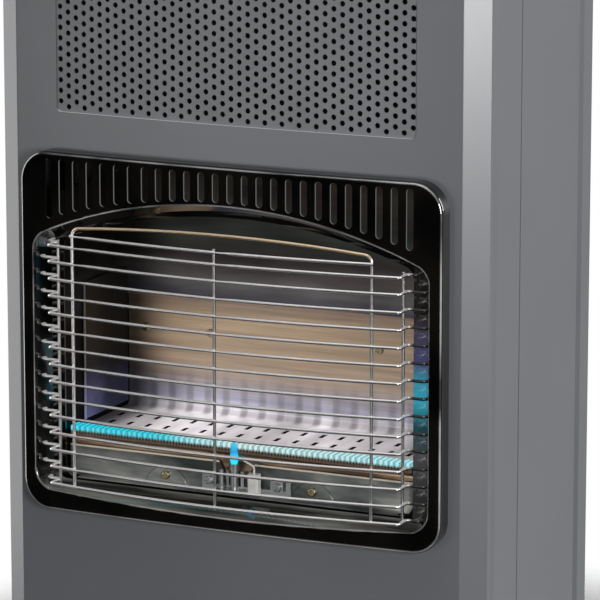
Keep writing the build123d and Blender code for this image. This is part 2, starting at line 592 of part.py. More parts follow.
def thermocouple():
    """Flame-sensing probe that stands beside the pilot."""
    y = PILOT_Y - 1.5
    return rod(PROBE_X, y, TRAY_BOTTOM + 0.2, 226, 2.0) + rod(PROBE_X, y, TRAY_BOTTOM + 2.4, 216, 2.4)


def pilot_screws():
    """Screws that hold the pilot bracket to the fascia."""
    return Compound(children=[screw_y(x, TRAY_Y - 1.2, SCREW_Z) for x in PILOT_SCREWS])


# --- gas train ---
def pipe(points, radius, bend):
    """Bent gas pipe."""
    path = FilletPolyline(*points, radius=bend)
    return sweep(Plane(origin=path @ 0, z_dir=path % 0) * Circle(radius), path)


def injector_elbow():
    """Brass elbow whose jet points into the burner's throat."""
    y, z = BURNER_Y, BURNER_Z
    block = box(KNOB_X - 8, KNOB_X + 8, y - 7, y + 7, z - 7, z + 7)
    return block + rod_x(y, z, 160, KNOB_X - 8, 4.0) + rod_y(KNOB_X, z, y + 7, y + 12, 5.5)


def burner_pipe():
    """Pipe from the valve down to the injector elbow."""
    start, end = (KNOB_X, KNOB_Y, 650), (KNOB_X, BURNER_Y + 12, BURNER_Z)
    return pipe([start, (KNOB_X, KNOB_Y, BURNER_Z), end], 4.0, 18)


def pilot_pipe():
    """Thin pipe from the valve, down and under the firebox, to the pilot."""
    x, y, low = 160, 108, 187
    points = [(x, y, 650), (x, y, low), (x, 32, low), (PILOT_X, 32, low),
              (PILOT_X, PILOT_Y, low + 6), (PILOT_X, PILOT_Y, PILOT_FOOT_Z)]
    return pipe(points, 2.0, [10, 10, 4, 3])


def gas_valve():
    """Valve body with its tapered-plug bore and flame-failure housing."""
    body = box(KNOB_X - 17, KNOB_X + 17, KNOB_Y - 17, KNOB_Y + 17, 650, 695)
    body = fillet(body.edges().filter_by(Axis.Z), 3.0)
    body += rod(KNOB_X, KNOB_Y, 695, 703, 11.5)
    body += rod_y(KNOB_X, 665, KNOB_Y - 34, KNOB_Y - 17, 10.0)
    return body - rod(KNOB_X, KNOB_Y, 680, 706, 8.0)


def stem_section(radius):
    """Round section with a flat on one side."""
    return Circle(radius) - Pos(0, 2 * radius - 1.2) * Rectangle(4 * radius, 2 * radius)


def valve_plug():
    """Plug that turns in the valve and guides the sliding stem."""
    plug = rod(KNOB_X, KNOB_Y, 680.3, 703, 7.95) + rod(KNOB_X, KNOB_Y, 703.3, 706, 10.0)
    plug += rod(KNOB_X, KNOB_Y, 703, 703.3, 7.95)
    bore = Pos(KNOB_X, KNOB_Y) * stem_section(4.05)
    return plug - upright(bore, 684, 710)


def knob_stem():
    """D-section stem that turns the plug and slides in it."""
    return upright(Pos(KNOB_X, KNOB_Y) * stem_section(4.0), 688.5, 738)


def control_knob():
    """Round control knob with a raised grip and a pointer."""
    low = 728.5
    disc = Pos(KNOB_X, KNOB_Y, low) * extrude(Circle(21.5), 7.5)
    disc = fillet(disc.edges().group_by(Axis.Z)[-1], 1.6)
    grip = Pos(KNOB_X, KNOB_Y, low + 6) * extrude(RectangleRounded(11, 40, 4.5), 12.0)
    grip = fillet(grip.edges().group_by(Axis.Z)[-1], 2.0)
    knob = disc + grip
    knob -= [Pos(KNOB_X, KNOB_Y, low + 3.7) * Rot(0, 0, angle) * Pos(22.6, 0) * Cylinder(1.8, 9)
             for angle in range(0, 360, 20)]
    knob -= box(KNOB_X - 0.8, KNOB_X + 0.8, KNOB_Y + 8, KNOB_Y + 18, low + 17.2, low + 20)
    return knob - upright(Pos(KNOB_X, KNOB_Y) * stem_section(4.0), low - 1, 738)


def control_bezel():
    """Moulded control plate pushed up through the top panel, with dial marks round the knob."""
    plate = upright(controls_outline(0.1), TOP_Z - 3, TOP_Z + 3)
    plate = fillet(plate.edges().group_by(Axis.Z)[-1], 1.2)
    flange_half = CONTROLS_HALF - 5
    plate += box(KNOB_X - flange_half, KNOB_X + flange_half, CONTROLS_FRONT - 5, CONTROLS_BACK + 5,
                 TOP_Z - 3, TOP_Z - SHEET)
    plate += upright(controls_outline(2) - controls_outline(4), TOP_Z - 8, TOP_Z - 3)
    marks = [Pos(KNOB_X, KNOB_Y, TOP_Z + 3.2) * Rot(0, 0, angle) * Pos(0, 22.7) * Box(1.0, 1.8, 0.6)
             for angle in (0, 60, 100, 140, 180)]
    plate += marks
    plate -= rod(KNOB_X, KNOB_Y, TOP_Z - 10, TOP_Z + 10, 5.0)
    return plate - rod(KNOB_X, IGNITER_Y, TOP_Z - 10, TOP_Z + 10, 6.4)


def igniter_body():
    """Spark generator barrel clipped under the control plate."""
    barrel = rod(KNOB_X, IGNITER_Y, 672, TOP_Z - 7, 9.0) + rod(KNOB_X, IGNITER_Y, TOP_Z - 7, TOP_Z - 3, 11.5)
    barrel += rod(KNOB_X, IGNITER_Y, 660, 672, 4.0)
    return barrel - rod(KNOB_X, IGNITER_Y, 692, TOP_Z + 1, 6.3)


def igniter_button():
    """Button that is pressed to fire the spark."""
    button = rod(KNOB_X, IGNITER_Y, 699, TOP_Z + 10, 6.0)
    return fillet(button.edges().group_by(Axis.Z)[-1], 1.5)


def gas_inlet_nozzle():
    """Barbed hose nozzle that reaches through the divider into the bottle bay."""
    z, start = 665, KNOB_Y + 17
    nozzle = rod_y(KNOB_X, z, start, DIVIDER_Y + 2, 6.0)
    nozzle += prism(Pos(KNOB_X, z) * RegularPolygon(8.5, 6), DIVIDER_Y + 2, DIVIDER_Y + 9)
    nozzle += rod_y(KNOB_X, z, DIVIDER_Y + 9, DIVIDER_Y + 34, 3.8)
    for step in range(4):
        y = DIVIDER_Y + 12 + 5.5 * step
        ridge = Pos(KNOB_X, y + 2.25, z) * Rot(-90, 0, 0) * Cone(4.8, 3.8, 4.5)
        nozzle += ridge
    return nozzle - rod_y(KNOB_X, z, DIVIDER_Y, DIVIDER_Y + 40, 2.4)


# --- castors ---
def castor_plates():
    """Mounting plates with their king pins and bearing rings."""
    plates = []
    for x, y in CASTOR_PLACES.values():
        plate = Pos(x, y, BASE_Z - 2.5) * extrude(RectangleRounded(42, 42, 5), 2.5)
        plate += rod(x, y, 59.6, BASE_Z - 2.5, 12.0)
        plate += rod(x, y, 53.4, 59.6, 4.0) + rod(x, y, 51.6, 53.4, 6.5)
        plates.append(plate - [rod(x + dx, y + dy, 55, 70, 2.5) for dx in (-14, 14) for dy in (-14, 14)])
    return Compound(children=plates)


def castor_bolts():
    """Rivets that hold the castor plates to the base, their heads flush with its floor."""
    bolts = []
    for x, y in CASTOR_PLACES.values():
        for dx in (-14, 14):
            for dy in (-14, 14):
                shank = rod(x + dx, y + dy, BASE_Z - 2.5, BASE_Z + 1, 2.5)
                bolts.append(shank + rod(x + dx, y + dy, BASE_Z + BOLT_SINK, BASE_Z + 2, 4.4))
    return Compound(children=bolts)


def castor_fork(x, y):
    """Swivelling fork: a flat crown on the king pin and two legs down to the axle."""
    crown_low, crown_high, leg, gap = 56.2, 59.3, 2.0, WHEEL_WIDTH / 2 + 1.6
    crown = rod(x, y, crown_low, crown_high, 17.0) - rod(x, y, 53.7, 70, 4.05)
    axle_y = y + CASTOR_TRAIL
    outline = make_face(Polyline((y - 13, crown_low + 1), (y + 13, crown_low + 1),
                                 (axle_y + 8, 27), (axle_y + 4, 17), (axle_y - 6, 18), close=True))
    outline = fillet([v for v in outline.vertices() if v.Y < crown_low], 4.0)
    legs = across(outline, x - gap - leg, x - gap) + across(outline, x + gap, x + gap + leg)
    fork = crown + legs
    return fork - rod_x(axle_y, WHEEL_RADIUS, x - 20, x + 20, 3.0)


def castor_axle(x, y):
    """Riveted axle through the fork's legs."""
    axle_y, reach = y + CASTOR_TRAIL, WHEEL_WIDTH / 2 + 3.6
    axle = rod_x(axle_y, WHEEL_RADIUS, x - reach, x + reach, 3.0)
    axle += rod_x(axle_y, WHEEL_RADIUS, x - reach - 1.6, x - reach, 4.6)
    return axle + rod_x(axle_y, WHEEL_RADIUS, x + reach, x + reach + 1.6, 4.6)


def castor_wheel(x, y):
    """Moulded wheel with a rounded tread, a sunk web and a hub."""
    half, tread = WHEEL_WIDTH / 2, WHEEL_RADIUS
    centre = Pos(x, y + CASTOR_TRAIL, WHEEL_RADIUS)
    wheel = Rot(0, 90, 0) * Cylinder(tread, WHEEL_WIDTH)
    wheel = fillet(wheel.edges().filter_by(GeomType.CIRCLE), 3.0)
    recess = Rot(0, 90, 0) * (Cylinder(18.5, 6.0) - Cylinder(8.5, 6.0))
    wheel -= Pos(half, 0, 0) * recess
    wheel -= Pos(-half, 0, 0) * recess
    wheel -= Rot(0, 90, 0) * Cylinder(3.06, 2 * WHEEL_WIDTH)
    return centre * wheel


# --- all pieces ---
def pieces():
    """Every node's name and shape."""
    yield "front_casing", front_casing()
    yield "side_panel_left", side_panel(-1)
    yield "side_panel_right", side_panel(1)
    yield "outlet_grille", outlet_grille()
    yield "burner_surround", burner_surround()
    yield "wire_guard", wire_guard()
    for maker in (top_panel, base_plate, divider_panel, rear_top_rail, rear_screws, outlet_duct,
                  rear_cover, firebox_shell, reflector, reflector_screws, burner_tube,
                  burner_port_strip, burner_brackets, lower_tray, tray_screws, pilot_bracket,
                  pilot_burner, spark_electrode, thermocouple, pilot_screws, injector_elbow,
                  burner_pipe, pilot_pipe, gas_valve, valve_plug, knob_stem, control_knob,
                  control_bezel, igniter_body, igniter_button, gas_inlet_nozzle, castor_plates,
                  castor_bolts):
        yield maker.__name__, maker()
    for place, (x, y) in CASTOR_PLACES.items():
        for maker in (castor_fork, castor_axle, castor_wheel):
            yield f"{maker.__name__}_{place}", maker(x, y)


os.makedirs("parts", exist_ok=True)
for name, shape in pieces():
    export_step(Pos(0, FACE_TO_CENTRE, 0) * shape, f"parts/{name}.step")
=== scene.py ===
import bmesh
import bpy
import math
from mathutils import Matrix, Vector


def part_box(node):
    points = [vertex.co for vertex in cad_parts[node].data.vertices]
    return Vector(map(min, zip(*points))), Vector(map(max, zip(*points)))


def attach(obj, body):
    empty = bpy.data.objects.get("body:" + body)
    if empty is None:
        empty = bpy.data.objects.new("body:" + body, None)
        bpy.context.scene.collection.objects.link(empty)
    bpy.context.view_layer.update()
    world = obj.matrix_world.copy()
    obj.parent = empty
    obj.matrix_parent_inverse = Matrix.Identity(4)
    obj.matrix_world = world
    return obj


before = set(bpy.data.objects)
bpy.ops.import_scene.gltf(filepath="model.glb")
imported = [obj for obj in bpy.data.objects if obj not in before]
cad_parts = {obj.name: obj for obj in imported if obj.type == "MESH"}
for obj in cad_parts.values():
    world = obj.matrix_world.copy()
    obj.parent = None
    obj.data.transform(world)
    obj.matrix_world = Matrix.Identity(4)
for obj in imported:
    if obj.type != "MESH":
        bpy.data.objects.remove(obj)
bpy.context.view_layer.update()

# The studio: a pale round floor that fades out, a white background, and five softboxes: a large
# one to the left, one low in front, one in front on the right, one at the right side and one
# overhead. The satin sides catch their light, and the bowed black surround stays dark.
scene = bpy.context.scene
scene.view_settings.view_transform = "Standard"

floor_mesh = bpy.data.meshes.new("studio_floor")
floor_disc = bmesh.new()
bmesh.ops.create_circle(floor_disc, cap_ends=True, segments=96, radius=1.0)
floor_disc.to_mesh(floor_mesh)
floor_disc.free()
studio_floor = bpy.data.objects.new("studio_floor", floor_mesh)
scene.collection.objects.link(studio_floor)

floor_fades_from, floor_gone_at = 0.30, 0.46
floor_finish = bpy.data.materials.new("studio_paper")
floor_finish.use_nodes = True
tree = floor_finish.node_tree
tree.nodes.clear()
paper = tree.nodes.new("ShaderNodeBsdfDiffuse")
paper.inputs["Color"].default_value = (0.80, 0.80, 0.79, 1)
clear = tree.nodes.new("ShaderNodeBsdfTransparent")
spot = tree.nodes.new("ShaderNodeTexCoord")
distance = tree.nodes.new("ShaderNodeVectorMath")
distance.operation = "LENGTH"
fade = tree.nodes.new("ShaderNodeMapRange")
fade.inputs["From Min"].default_value = floor_fades_from
fade.inputs["From Max"].default_value = floor_gone_at
fade.interpolation_type = "SMOOTHSTEP"
blend = tree.nodes.new("ShaderNodeMixShader")
floor_out = tree.nodes.new("ShaderNodeOutputMaterial")
for output, socket in ((spot.outputs["Object"], distance.inputs[0]),
                       (distance.outputs["Value"], fade.inputs["Value"]),
                       (fade.outputs["Result"], blend.inputs["Fac"]),
                       (paper.outputs["BSDF"], blend.inputs[1]),
                       (clear.outputs["BSDF"], blend.inputs[2]),
                       (blend.outputs["Shader"], floor_out.inputs["Surface"])):
    tree.links.new(output, socket)
floor_mesh.materials.append(floor_finish)

# The backdrop is white to the camera, dark in front of the heater and pale behind it to
# whatever mirrors it, and dim as a light.
dark_in_front, pale_behind = 0.012, 0.48
world = bpy.data.worlds.new("studio")
world.use_nodes = True
scene.world = world
tree = world.node_tree
tree.nodes.clear()
backdrop = tree.nodes.new("ShaderNodeBackground")
ambient = tree.nodes.new("ShaderNodeBackground")
ambient.inputs["Color"].default_value = (0.068, 0.070, 0.075, 1)
ways = tree.nodes.new("ShaderNodeLightPath")
heading = tree.nodes.new("ShaderNodeTexCoord")
split = tree.nodes.new("ShaderNodeSeparateXYZ")
behind = tree.nodes.new("ShaderNodeMapRange")
behind.inputs["From Min"].default_value = -0.15
behind.inputs["From Max"].default_value = 0.35
behind.inputs["To Min"].default_value = dark_in_front
behind.inputs["To Max"].default_value = pale_behind
mirror_level, seen, either = [tree.nodes.new("ShaderNodeMath") for _ in range(3)]
for larger in (mirror_level, seen, either):
    larger.operation = "MAXIMUM"
studio = tree.nodes.new("ShaderNodeMixShader")
world_out = tree.nodes.new("ShaderNodeOutputWorld")
for output, socket in ((heading.outputs["Generated"], split.inputs["Vector"]),
                       (split.outputs["Y"], behind.inputs["Value"]),
                       (behind.outputs["Result"], mirror_level.inputs[0]),
                       (ways.outputs["Is Camera Ray"], mirror_level.inputs[1]),
                       (mirror_level.outputs["Value"], backdrop.inputs["Color"]),
                       (ways.outputs["Is Camera Ray"], seen.inputs[0]),
                       (ways.outputs["Is Glossy Ray"], seen.inputs[1]),
                       (seen.outputs["Value"], either.inputs[0]),
                       (ways.outputs["Is Transmission Ray"], either.inputs[1]),
                       (either.outputs["Value"], studio.inputs["Fac"]),
                       (ambient.outputs["Background"], studio.inputs[1]),
                       (backdrop.outputs["Background"], studio.inputs[2]),
                       (studio.outputs["Shader"], world_out.inputs["Surface"])):
    tree.links.new(output, socket)


def softbox(name, place, aim, width, height, watts):
    """An area light that shows in reflections but not to the camera."""
    lamp = bpy.data.lights.new(name, "AREA")
    lamp.shape = "RECTANGLE"
    lamp.size, lamp.size_y = width, height
    lamp.energy = watts
    holder = bpy.data.objects.new(name, lamp)
    scene.collection.objects.link(holder)
    holder.location = place
    holder.rotation_euler = (Vector(aim) - Vector(place)).to_track_quat("-Z", "Y").to_euler()
    holder.visible_camera = False
    return holder


def black_flag(lamp_holder, *pieces):
    """Keep one lamp's light off some pieces."""
    flagged = lamp_holder.light_linking.receiver_collection
    if flagged is None:
        flagged = bpy.data.collections.new("flagged_from_" + lamp_holder.name)
        lamp_holder.light_linking.receiver_collection = flagged
    for piece in pieces:
        flagged.objects.link(piece)
    for member in flagged.collection_objects:
        member.light_linking.link_state = "EXCLUDE"


softbox("left_softbox", place=(-1.75, 0.05, 0.60), aim=(0, 0.05, 0.45), width=0.9, height=2.0, watts=13.4)
low_front = softbox("low_front_softbox", place=(-0.9, -2.0, 0.25), aim=(0, -0.15, 0.4),
                    width=1.2, height=0.5, watts=5.3)
right = softbox("right_softbox", place=(1.2, -1.35, 0.55), aim=(0.2, -0.18, 0.55),
                width=0.4, height=0.5, watts=18.8)
softbox("side_softbox", place=(2.1, 0.35, 1.0), aim=(0.2, 0, 0.4), width=0.9, height=1.2, watts=27.9)
softbox("overhead_softbox", place=(0.0, -0.75, 2.1), aim=(0, -0.1, 0.5), width=1.4, height=0.9, watts=7.0)

# The glossy surround would mirror the low front softbox; in the firebox the flame is the light.
black_flag(low_front, bpy.data.objects["burner_surround"])
black_flag(right, bpy.data.objects["reflector"], bpy.data.objects["firebox_shell"])

camera = bpy.data.objects.new("camera", bpy.data.cameras.new("camera"))
scene.collection.objects.link(camera)
scene.camera = camera
camera.data.lens = 252.0
camera.data.sensor_width = 36.0
camera.data.clip_start = 0.1
camera.data.clip_end = 20.0
aim = Vector((0.0573, -0.1974, 0.365))
sideways, tilt, reach = math.radians(25.39), math.radians(11.86), 3.112
back = Vector((math.sin(sideways) * math.cos(tilt), -math.cos(sideways) * math.cos(tilt), math.sin(tilt)))
camera.location = aim + back * reach
camera.rotation_mode = "QUATERNION"
camera.rotation_quaternion = (-back).to_track_quat("-Z", "Y")


# Front casing, side panels, top panel and rear cover: steel sheet, folded and pressed, then
# coated in a satin blue-grey powder. The coat has a very fine orange peel. It is darker along the
# seams between the front casing and the sides, and a painted highlight glows along the outlet's lower lip.
class Finish:
    """A material on a piece's own coordinates, and the patterns that vary it over the piece."""

    def __init__(self, name, colour, roughness, metallic=0.0):
        self.material = bpy.data.materials.new(name)
        self.material.use_nodes = True
        self.nodes, self.links = self.material.node_tree.nodes, self.material.node_tree.links
        self.surface = self.nodes["Principled BSDF"]
        self.fix("Base Color", (*colour, 1))
        self.fix("Roughness", roughness)
        self.fix("Metallic", metallic)

    def fix(self, socket, value):
        """Set one of the surface's values."""
        self.surface.inputs[socket].default_value = value

    def colour(self, pattern):
        """Let a pattern give the surface its colour."""
        self.links.new(pattern, self.surface.inputs["Base Color"])

    def glow(self, pattern):
        """Let a pattern light the surface by itself."""
        self.links.new(pattern, self.surface.inputs["Emission Color"])
        self.fix("Emission Strength", 1.0)

    def relief(self, value, strength, depth):
        """Bump from a value, its depth in metres."""
        bump = self.nodes.new("ShaderNodeBump")
        bump.inputs["Strength"].default_value = strength
        bump.inputs["Distance"].default_value = depth
        self.links.new(value, bump.inputs["Height"])
        self.links.new(bump.outputs["Normal"], self.surface.inputs["Normal"])

    def grain(self, scale, detail=2.0, stretch=(1, 1, 1)):
        """Noise; a stretch below 1 draws it out along that axis."""
        coordinates = self.nodes.new("ShaderNodeTexCoord")
        mapping = self.nodes.new("ShaderNodeMapping")
        mapping.inputs["Scale"].default_value = stretch
        noise = self.nodes.new("ShaderNodeTexNoise")
        noise.inputs["Scale"].default_value = scale
        noise.inputs["Detail"].default_value = detail
        self.links.new(coordinates.outputs["Object"], mapping.inputs["Vector"])
        self.links.new(mapping.outputs["Vector"], noise.inputs["Vector"])
        return noise.outputs["Fac"]

    def one_axis(self, vector, axis):
        """One axis of a vector."""
        axes = self.nodes.new("ShaderNodeSeparateXYZ")
        self.links.new(vector, axes.inputs["Vector"])
        return axes.outputs[axis]

    def remap(self, value, before, after=(0, 1), smooth=False):
        """A value carried from one range to another and kept inside it."""
        spread = self.nodes.new("ShaderNodeMapRange")
        spread.inputs["From Min"].default_value, spread.inputs["From Max"].default_value = before
        spread.inputs["To Min"].default_value, spread.inputs["To Max"].default_value = after
        if smooth:
            spread.interpolation_type = "SMOOTHSTEP"
        self.links.new(value, spread.inputs["Value"])
        return spread.outputs["Result"]

    def along(self, axis, span, levels=(0, 1), smooth=False):
        """A level that changes over a span of one axis, in metres, and holds beyond it."""
        coordinates = self.nodes.new("ShaderNodeTexCoord")
        return self.remap(self.one_axis(coordinates.outputs["Object"], axis), span, levels, smooth)

    def facing(self, axis, span, levels=(0, 1), smooth=False):
        """A level that changes with how far the surface faces along one axis, from -1 to 1."""
        geometry = self.nodes.new("ShaderNodeNewGeometry")
        return self.remap(self.one_axis(geometry.outputs["Normal"], axis), span, levels, smooth)

    def work_out(self, operation, *values):
        """One step of arithmetic on values."""
        step = self.nodes.new("ShaderNodeMath")
        step.operation = operation
        for value, socket in zip(values, step.inputs):
            self.links.new(value, socket)
        return step.outputs["Value"]

    def product(self, first, *others):
        """Values multiplied together."""
        for value in others:
            first = self.work_out("MULTIPLY", first, value)
        return first

    def ramp(self, value, *stops):
        """Colour that passes through the stops, each a value and its colour."""
        colours = self.nodes.new("ShaderNodeValToRGB")
        band = colours.color_ramp
        while len(band.elements) < len(stops):
            band.elements.new(0.5)
        for element, (position, colour) in zip(band.elements, stops):
            element.position = position
            element.color = (*colour, 1)
        self.links.new(value, colours.inputs["Fac"])
        return colours.outputs["Color"]

    def tint(self, colour, strength):
        """Colour times a value."""
        scaled = self.nodes.new("ShaderNodeVectorMath")
        scaled.operation = "SCALE"
        self.links.new(colour, scaled.inputs[0])
        self.links.new(strength, scaled.inputs["Scale"])
        return scaled.outputs["Vector"]


def dress(finish, *names):
    """Give CAD nodes a finish."""
    for name in names:
        mesh = bpy.data.objects[name].data
        if not mesh.materials:
            mesh.materials.append(finish.material)
        for number in range(len(mesh.materials)):
            mesh.materials[number] = finish.material


BLACK = (0, 0, 0)
seam_y, seam_half, panel_x, seam_top = -0.1174, 0.0007, 0.196, 0.690
outlet_lip_z = 0.4915
coat = Finish("grey_powder_coat", (0.122, 0.128, 0.138), 0.36)
# The coat is darker in a narrow band along the seams between the front casing and the sides.
off_seam = coat.work_out("ABSOLUTE", coat.along("Y", (seam_y - 0.02, seam_y + 0.02), (-0.02, 0.02)))
off_middle = coat.work_out("ABSOLUTE", coat.along("X", (-0.3, 0.3), (-0.3, 0.3)))
in_seam = coat.product(coat.remap(off_seam, (seam_half, seam_half + 0.0006), (1, 0)),
                       coat.remap(off_middle, (panel_x, panel_x + 0.002)),
                       coat.along("Z", (seam_top, seam_top + 0.005), (1, 0)))
blue_grey = coat.ramp(coat.grain(9.0, 4.0), (0.3, (0.117, 0.123, 0.133)), (0.7, (0.127, 0.133, 0.143)))
coat.colour(coat.tint(blue_grey, coat.remap(in_seam, (0, 1), (1.0, 0.5))))
coat.relief(coat.grain(1100.0, 1.0), 0.10, 0.0002)
coat.fix("Coat Weight", 0.25)
coat.fix("Coat Roughness", 0.22)
# A painted highlight: the outlet's upward-facing lower lip glows pale.
painted_lip_highlight = coat.product(coat.facing("Z", (0.5, 0.9)),
                      coat.along("Z", (outlet_lip_z - 0.0010, outlet_lip_z - 0.0005)),
                      coat.along("Z", (outlet_lip_z + 0.0045, outlet_lip_z + 0.0050), (1, 0)))
coat.glow(coat.ramp(painted_lip_highlight, (0.0, BLACK), (1.0, (0.55, 0.56, 0.57))))
dress(coat, "front_casing", "side_panel_left", "side_panel_right", "top_panel", "rear_cover")

# Outlet grille: perforated steel sheet fixed behind the upper opening, in a slightly lighter
# coat than the casing's. The coat lies a little unevenly round the punched holes.
grille_coat = Finish("grille_coat", (0.17, 0.177, 0.187), 0.42)
grille_coat.colour(grille_coat.ramp(grille_coat.grain(30.0, 3.0),
                                    (0.3, (0.160, 0.167, 0.177)), (0.7, (0.180, 0.187, 0.197))))
grille_coat.relief(grille_coat.grain(1100.0, 1.0), 0.10, 0.0002)
dress(grille_coat, "outlet_grille")

# Burner surround: one deep-drawn steel pressing in gloss black vitreous enamel, clipped to the
# front casing. The enamel is a little wavy. A painted highlight greys it in patches over the
# pressing's rounded edges, a painted glow lights the slot walls, and painted reflections show the
# flame blue on the right ledge and the fascia in the sill.
surround_low, surround_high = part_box("burner_surround")
ledge_x, sill_z = 0.1462, 0.218
slots_half, slots_foot, slots_top = 0.152, 0.400, 0.458
enamel_black, rim_highlight_grey = (0.006, 0.0052, 0.0045), (0.42, 0.42, 0.41)
enamel = Finish("black_enamel", enamel_black, 0.07)
enamel.relief(enamel.grain(60.0, 2.0), 0.12, 0.001)
enamel.fix("Coat Weight", 1.0)
enamel.fix("Coat Roughness", 0.04)
# A painted highlight: where the enamel turns from facing front to facing sideways, it is coloured grey in
# patches.
painted_rim_highlight = enamel.ramp(enamel.facing("Y", (-1, 0)), (0.06, enamel_black), (0.15, rim_highlight_grey),
                        (0.27, rim_highlight_grey), (0.36, enamel_black))
enamel.colour(enamel.tint(painted_rim_highlight, enamel.remap(enamel.grain(18.0, 3.0), (0.38, 0.62), (0.10, 1.0))))

# A painted reflection of the flame: a blue and cyan glow on the right ledge.
on_ledge = enamel.product(enamel.along("X", (ledge_x - 0.0005, ledge_x)),
                          enamel.along("Y", (surround_high.y - 0.0035, surround_high.y - 0.002)))
painted_flame_reflection = enamel.ramp(enamel.along("Z", (0.20, 0.40)),
                          (0.10, (0.02, 0.02, 0.02)), (0.26, (0.05, 0.05, 0.055)), (0.38, (0.008, 0.05, 0.06)),
                          (0.48, (0.03, 0.30, 0.40)), (0.56, (0.03, 0.22, 0.32)), (0.62, (0.05, 0.05, 0.13)),
                          (0.74, (0.04, 0.035, 0.06)), (0.80, (0.008, 0.007, 0.006)))
# A painted reflection of the fascia: pale streaks glowing on the sill.
fascia_streaks = enamel.remap(enamel.grain(34.0, 5.0, (0.22, 2.6, 1.0)), (0.42, 0.68), (0.012, 0.16))
painted_fascia_reflection = enamel.ramp(fascia_streaks, (0.0, (0.80, 0.80, 0.72)), (1.0, (0.95, 0.97, 0.92)))
on_sill = enamel.product(enamel.facing("Z", (0.45, 0.8)), enamel.along("Z", (sill_z, sill_z + 0.006), (1, 0)))
# A painted glow lights the walls of the slots.
slot_wall = enamel.product(enamel.facing("Y", (-0.35, -0.15)), enamel.along("Y", (-0.203, -0.200), (1, 0)))
among_slots = enamel.product(enamel.along("X", (-slots_half, -slots_half + 0.002)),
                             enamel.along("X", (slots_half - 0.002, slots_half), (1, 0)),
                             enamel.along("Z", (slots_foot, slots_foot + 0.004)),
                             enamel.along("Z", (slots_top - 0.002, slots_top), (1, 0)))
painted_slot_glow = enamel.ramp(enamel.product(slot_wall, among_slots), (0.0, BLACK), (1.0, (0.13, 0.14, 0.13)))
# The painted reflections and the painted glow of the slot walls are added up and glow from the enamel.
painted_glow_sum = enamel.tint(painted_flame_reflection, on_ledge)
for image in (enamel.tint(painted_fascia_reflection, enamel.product(on_sill, fascia_streaks)), painted_slot_glow):
    together = enamel.nodes.new("ShaderNodeVectorMath")
    together.operation = "ADD"
    enamel.links.new(painted_glow_sum, together.inputs[0])
    enamel.links.new(image, together.inputs[1])
    painted_glow_sum = together.outputs["Vector"]
enamel.glow(painted_glow_sum)
dress(enamel, "burner_surround")

# Wire guard: 2.4 mm steel wires, bent in a jig, spot-welded where they cross, then chromed.
# Each weld leaves a bead between the two wires. The top of the inner loop is tinted gold by heat.
# Painted shade darkens the wires' undersides and the tips by the right ledge, and a painted glow
# of firelight lies on the wires' tops.
WIRE, GUARD_RADIUS = 0.0024, 0.824
TOP_WIRE, WIRE_PITCH, REGULAR_WIRES = 0.3798, 0.0133, 14
SECOND_WIRE, SHORT_WIRE = 0.3924, 0.4014
UPRIGHT_X, SIDE_ROD_X, SIDE_ROD_Y = 0.124, 0.1445, -0.2025
BEAD = (0.0016, 0.0018, 0.0013)
guard_low, guard_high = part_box("wire_guard")


def guard_front(x):
    """Depth of the middle of the guard's front wires at x."""
    return guard_low.y + WIRE / 2 + GUARD_RADIUS - math.sqrt(GUARD_RADIUS ** 2 - x ** 2)


def add_piece(name, shape, finish, body="heater", smooth=True):
    """A finished mesh as a piece that rides on a body."""
    bmesh.ops.recalc_face_normals(shape, faces=shape.faces)
    mesh = bpy.data.meshes.new(name)
    shape.to_mesh(mesh)
    shape.free()
    for face in mesh.polygons:
        face.use_smooth = smooth
    mesh.materials.append(finish.material)
    piece = bpy.data.objects.new(name, mesh)
    scene.collection.objects.link(piece)
    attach(piece, body)
    return piece


chrome = Finish("chromed_wire", (0.85, 0.84, 0.83), 0.33, 1.0)
heat_tint = chrome.ramp(chrome.along("Z", (0.40, 0.42)),
                        (0.18, (0.86, 0.84, 0.83)), (0.36, (0.88, 0.68, 0.46)))
# Painted shade: the wires' undersides are darker than their tops, less so left of the left upright.
painted_light_from_above = chrome.facing("Z", (-0.15, 0.45), (0.30, 1.0), True)
left_upright = chrome.along("X", (-0.12, -0.118), (0.75, 0.0))
# Painted shade: the tips by the right ledge are darkened.
painted_light_and_shade = chrome.product(chrome.work_out("MAXIMUM", painted_light_from_above, left_upright),
                               chrome.along("X", (0.1475, 0.1505), (1.0, 0.10)))
chrome.colour(chrome.tint(heat_tint, painted_light_and_shade))
# A painted glow of firelight on the wires' tops.
painted_flame_light_on_wires = chrome.product(painted_light_and_shade, chrome.remap(painted_light_from_above, (0.4, 1.0), (0.0, 0.30)))
chrome.glow(chrome.tint(heat_tint, painted_flame_light_on_wires))
chrome.relief(chrome.grain(900.0, 2.0), 0.05, 0.0002)
dress(chrome, "wire_guard")

weld_heights = [TOP_WIRE - WIRE_PITCH * row for row in range(REGULAR_WIRES)] + [SECOND_WIRE]
welds = [(x, guard_front(x) + 0.0010, z) for x in (-UPRIGHT_X, 0.0, UPRIGHT_X)
         for z in weld_heights + [SHORT_WIRE]]
welds += [(side * SIDE_ROD_X, SIDE_ROD_Y, z) for side in (-1, 1) for z in weld_heights]
beads = bmesh.new()
for weld in welds:
    bmesh.ops.create_icosphere(beads, subdivisions=2, radius=1.0,
                               matrix=Matrix.Translation(weld) @ Matrix.Diagonal((*BEAD, 1)))
add_piece("guard_weld_beads", beads, chrome)

